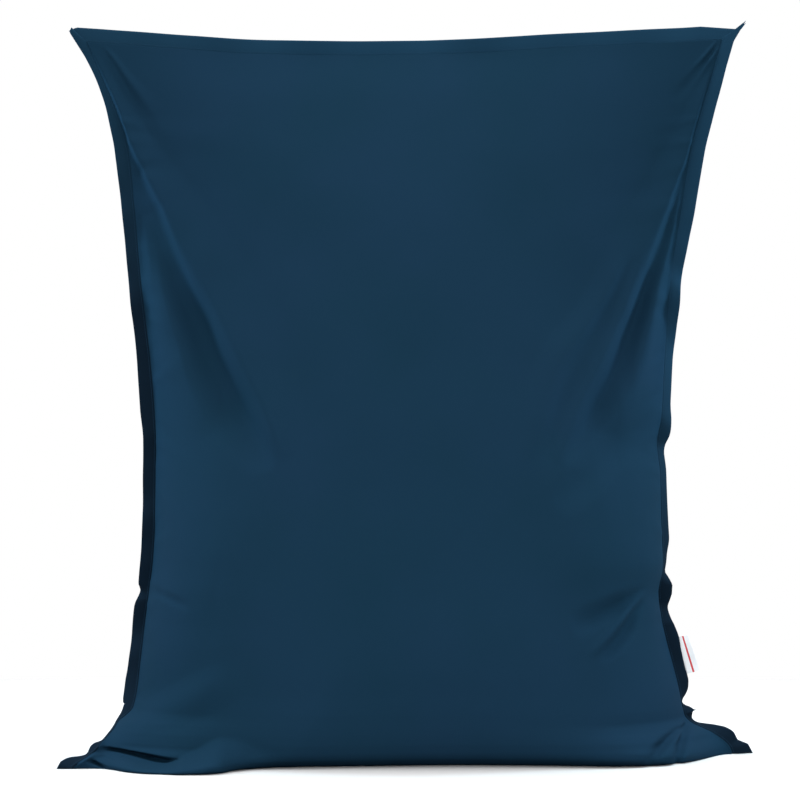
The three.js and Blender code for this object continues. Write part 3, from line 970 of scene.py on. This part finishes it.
# An sRGB hex colour as linear red, green, blue and alpha
def fromHex(text):
    channels = np.array([int(text[i : i + 2], 16) for i in (1, 3, 5)]) / 255
    linear = np.where(channels <= 0.04045, channels / 12.92, ((channels + 0.055) / 1.055) ** 2.4)
    return (*linear.tolist(), 1.0)


# A node with its settings and its links: inputs by name, or i and their number, take a value or
# another node's socket
def addNode(tree, kind, settings=None, **inputs):
    node = tree.nodes.new(kind)
    for name, value in (settings or {}).items():
        setattr(node, name, value)
    for name, value in inputs.items():
        byNumber = name[0] == "i" and name[1:].isdigit()
        socket = node.inputs[int(name[1:]) if byNumber else name.replace("_", " ")]
        if isinstance(value, bpy.types.NodeSocket):
            tree.links.new(value, socket)
        else:
            socket.default_value = value
    return node


# The result of one sum on the given values or sockets
def addMath(tree, operation, *values):
    inputs = {f"i{number}": value for number, value in enumerate(values)}
    return addNode(tree, "ShaderNodeMath", {"operation": operation}, **inputs).outputs[0]


# A colour that goes through the stops, each a place from 0 to 1 and a hex colour
def addRamp(tree, place, stops):
    ramp = addNode(tree, "ShaderNodeValToRGB", Fac=place)
    elements = ramp.color_ramp.elements
    for number, (at, color) in enumerate(stops):
        element = elements[number] if number < 2 else elements.new(at)
        element.position = at
        element.color = fromHex(color)
    return ramp.outputs["Color"]


# The shader's normal tilted by the slope of a height
def addBump(tree, shader, height, depth, strength):
    bump = addNode(tree, "ShaderNodeBump", Height=height, Distance=depth, Strength=strength)
    tree.links.new(bump.outputs["Normal"], shader.inputs["Normal"])


# A new material, its node tree and its shader
def newMaterial(name):
    material = bpy.data.materials.new(name)
    material.use_nodes = True
    tree = material.node_tree
    return material, tree, tree.nodes["Principled BSDF"]


polyester = {
    "clouds": [(0.35, "#112a3b"), (0.65, "#132b3e")],
    "cloudScale": 3.2,
    "cloudDetail": 3.0,
    # painted shade: the flange is dark low down and lighter high up, in place of the shade that the
    # bag's swell casts
    "flange": [(0.3, "#0d1a26"), (0.5, "#132b3c"), (0.66, "#163246")],
    "flangeShadeSlant": 0.5,  # how much further up the left the painted shade reaches, for each metre across
    "flangeShadeSpread": 0.5,
    "rough": 0.85,
    "gloss": 0.01,  # specular level of the matt coated yarn
    "refraction": 1.5,
    "threadPitch": 1.1,  # mm; a real thread is 0.4 mm, drawn coarser so that it shows close up
    "weaveDepth": 0.00005,
    "weaveStrength": 0.6,
}


# Plain weave as a height: two rows of threads at right angles, sin(u) x sin(v) raised where one
# passes over the other
def weaveHeight(tree, pitch):
    grid = addNode(tree, "ShaderNodeUVMap", {"uv_map": "clothGrid"})
    scale = math.pi / (pitch * toMetres)
    stretched = addNode(
        tree, "ShaderNodeVectorMath", {"operation": "SCALE"}, i0=grid.outputs["UV"], Scale=scale
    )
    parts = addNode(tree, "ShaderNodeSeparateXYZ", Vector=stretched.outputs["Vector"])
    warp = addMath(tree, "SINE", parts.outputs["X"])
    weft = addMath(tree, "SINE", parts.outputs["Y"])
    return addMath(tree, "MULTIPLY", warp, weft)


# Coated woven polyester: a tight weave, nearly matt, with faint clouds in its navy
def wovenPolyester(name):
    material, tree, shader = newMaterial(name)
    place = addNode(tree, "ShaderNodeTexCoord").outputs["Object"]
    detail = {"Scale": polyester["cloudScale"], "Detail": polyester["cloudDetail"]}
    cloud = addNode(tree, "ShaderNodeTexNoise", Vector=place, **detail)
    color = addRamp(tree, cloud.outputs["Fac"], polyester["clouds"])
    tree.links.new(color, shader.inputs["Base Color"])
    return finishPolyester(material, tree, shader)


# The same cloth doubled in the flange, with painted shade in its colour: darker towards the floor, and
# on the left from further up, and lighter high up, for the shade of the bag's swell. Its colour goes
# by (z + slant x) x spread, in metres
def paintedShadePolyester(name):
    material, tree, shader = newMaterial(name)
    place = addNode(tree, "ShaderNodeTexCoord").outputs["Object"]
    parts = addNode(tree, "ShaderNodeSeparateXYZ", Vector=place)
    x, z = parts.outputs["X"], parts.outputs["Z"]
    height = addMath(tree, "MULTIPLY_ADD", x, polyester["flangeShadeSlant"], z)
    share = addMath(tree, "MULTIPLY", height, polyester["flangeShadeSpread"])
    # the ramp paints the swell's shade into the flange's base colour
    tree.links.new(addRamp(tree, share, polyester["flange"]), shader.inputs["Base Color"])
    return finishPolyester(material, tree, shader)


# What both polyesters share: the weave as a bump, and a coated yarn that hardly shines
def finishPolyester(material, tree, shader):
    weave = weaveHeight(tree, polyester["threadPitch"])
    addBump(tree, shader, weave, polyester["weaveDepth"], polyester["weaveStrength"])
    shader.inputs["Roughness"].default_value = polyester["rough"]
    shader.inputs["IOR"].default_value = polyester["refraction"]
    shader.inputs["Specular IOR Level"].default_value = polyester["gloss"]
    return material


thread = {
    "color": "#17344a",
    "rough": 0.7,
    "gloss": 0.05,
    "twistPitch": 0.9,
    "bands": 3.2,  # bands of the wave texture for each unit of its scale
    "twistDepth": 0.0001,
    "twistStrength": 0.5,
}


# Spun polyester thread: a fine slanted twist and a dull gleam
def polyesterThread():
    material, tree, shader = newMaterial("spun polyester thread")
    place = addNode(tree, "ShaderNodeTexCoord").outputs["Object"]
    scale = 1 / (thread["twistPitch"] * toMetres) / thread["bands"]
    slanted = {"bands_direction": "DIAGONAL"}
    twist = addNode(tree, "ShaderNodeTexWave", slanted, Vector=place, Scale=scale)
    addBump(tree, shader, twist.outputs["Fac"], thread["twistDepth"], thread["twistStrength"])
    shader.inputs["Base Color"].default_value = fromHex(thread["color"])
    shader.inputs["Roughness"].default_value = thread["rough"]
    shader.inputs["Specular IOR Level"].default_value = thread["gloss"]
    return material


tape = {
    "ground": "#e4e8ec",
    "stripe": "#c3202b",
    "width": 22.7,
    "stripeMiddle": 0.52,  # share of the width
    "stripeWidth": 3.2,
    "ribPitch": 0.9,  # mm; real ribs are 0.3 mm, drawn coarser so that they show close up
    "ribDepth": 0.00006,
    "ribStrength": 0.5,
    "rough": 0.42,
    "gloss": 0.4,
}


# Woven satin tape: fine ribs across a silky white ground, with one red stripe woven along it
def satinTape():
    material, tree, shader = newMaterial("woven satin tape")
    grid = addNode(tree, "ShaderNodeUVMap", {"uv_map": "clothGrid"})
    parts = addNode(tree, "ShaderNodeSeparateXYZ", Vector=grid.outputs["UV"])
    middle = tape["stripeMiddle"] * tape["width"] * toMetres
    off = addMath(tree, "SUBTRACT", parts.outputs["X"], middle)
    away = addMath(tree, "ABSOLUTE", off)
    inStripe = addMath(tree, "LESS_THAN", away, tape["stripeWidth"] / 2 * toMetres)
    colors = {"i6": fromHex(tape["ground"]), "i7": fromHex(tape["stripe"])}
    mix = addNode(tree, "ShaderNodeMix", {"data_type": "RGBA"}, Factor=inStripe, **colors)
    tree.links.new(mix.outputs[2], shader.inputs["Base Color"])
    ribs = weaveHeight(tree, tape["ribPitch"])
    addBump(tree, shader, ribs, tape["ribDepth"], tape["ribStrength"])
    shader.inputs["Roughness"].default_value = tape["rough"]
    shader.inputs["Specular IOR Level"].default_value = tape["gloss"]
    return material


# Stage, light and camera

studio = {
    "cameraPlace": (-4.0, -6500.0, 620.0),
    "cameraAim": (-4.0, 0.0, 719.0),
    "lens": 144.1,
    "sensor": 36.0,
    "worldLight": 1.0,
    "worldColor": "#ffffff",
    "floorSide": 9.0,  # metres to the sides and the front
    "floorBack": 2.2,
    "floorColor": "#c8c8c8",
    "floorRough": 0.9,
    "sideTint": "#c4eeff",
}
# Soft lights: places and aims in millimetres, sizes in metres, power in watts. The two at the sides
# graze the bag's edges, the low and the high one lift the front, and the top one gives the folds
# their light upper and dark lower sides.
softboxes = [
    ("left softbox", (-1250, 210, 1200), (0.25, 0.9), 14, (-450, -60, 950), studio["sideTint"]),
    ("right softbox", (1250, 210, 1200), (0.25, 0.9), 14, (450, -60, 950), studio["sideTint"]),
    ("low softbox", (0, -1300, 300), (2.6, 0.5), 8, (0, -250, 350)),
    ("high softbox", (0, -800, 2450), (2.2, 0.4), 4.5, (0, 0, 1400)),
    ("top softbox", (0, 380, 2900), (3.4, 2.4), 130, (0, 300, 0)),
]


# A place in the tables' millimetres as a point of the frame: place x 0.001 + the frame's shift
def stagePoint(place):
    return Vector(place) * toMetres + Vector(frameShift)


# The camera, straight in front and far off with a long lens, so that lines hardly converge
def makeCamera():
    camera = bpy.data.objects.new("camera", bpy.data.cameras.new("camera"))
    bpy.context.scene.collection.objects.link(camera)
    camera.data.lens = studio["lens"]
    camera.data.sensor_width = studio["sensor"]
    camera.location = stagePoint(studio["cameraPlace"])
    aim = stagePoint(studio["cameraAim"]) - camera.location
    camera.rotation_euler = aim.to_track_quat("-Z", "Y").to_euler()
    bpy.context.scene.camera = camera


# An area light that the camera doesn't see, turned from its place to its aim
def softLight(name, place, size, power, aim, tint="#ffffff"):
    light = bpy.data.lights.new(name, "AREA")
    light.shape = "RECTANGLE"
    light.size, light.size_y = size
    light.energy = power
    light.color = fromHex(tint)[:3]
    lamp = bpy.data.objects.new(name, light)
    bpy.context.scene.collection.objects.link(lamp)
    lamp.visible_camera = False
    lamp.location = stagePoint(place)
    lamp.rotation_euler = (stagePoint(aim) - lamp.location).to_track_quat("-Z", "Y").to_euler()


# The paper floor, which ends behind the bag, the white surroundings and the lights
def makeStage():
    side, back = studio["floorSide"], studio["floorBack"]
    corners = [(-side, -side, 0), (side, -side, 0), (side, back, 0), (-side, back, 0)]
    floor = bpy.data.meshes.new("floor")
    floor.from_pydata(corners, [], [(0, 1, 2, 3)])
    piece = bpy.data.objects.new("floor", floor)
    bpy.context.scene.collection.objects.link(piece)
    material, _, shader = newMaterial("white paper sweep")
    shader.inputs["Base Color"].default_value = fromHex(studio["floorColor"])
    shader.inputs["Roughness"].default_value = studio["floorRough"]
    floor.materials.append(material)
    world = bpy.data.worlds.new("studio")
    bpy.context.scene.world = world
    world.use_nodes = True
    sky = world.node_tree.nodes["Background"]
    sky.inputs["Color"].default_value = fromHex(studio["worldColor"])
    sky.inputs["Strength"].default_value = studio["worldLight"]
    for softbox in softboxes:
        softLight(*softbox)
    bpy.context.scene.view_settings.view_transform = "Standard"


makeCamera()
makeStage()
print("stage ready")

panelCloth = wovenPolyester("coated woven polyester")
paintedShadeFlangeCloth = paintedShadePolyester("doubled woven polyester with painted shade")

bag = makeBag()
bag.data.materials.append(panelCloth)
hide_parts("bag")
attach(bag, "root")
print("bag ready", len(bag.data.polygons))

flanges = {
    "left": sideFlange(-1, leftFlange, {"leftSide": 1}),
    "right": sideFlange(1, rightFlange, {"rightSide": 1, "rightFoot": -1}),
    "top": topFlange(),
}
for side, (seam, edge) in flanges.items():
    strip = makeStrip(f"flange_{side}_cloth", seam, edge)
    strip.data.materials.append(paintedShadeFlangeCloth)
    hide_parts(f"flange_{side}")
    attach(strip, "root")
print("flanges ready")

stitches = makeStitches("seam_stitches", flanges.values())
stitches.data.materials.append(polyesterThread())
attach(stitches, "root")
print("stitches ready", len(stitches.data.polygons))

label, labelSize = makeLabel()
label.data.materials.append(satinTape())
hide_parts("label")
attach(label, "root")
print("label ready")
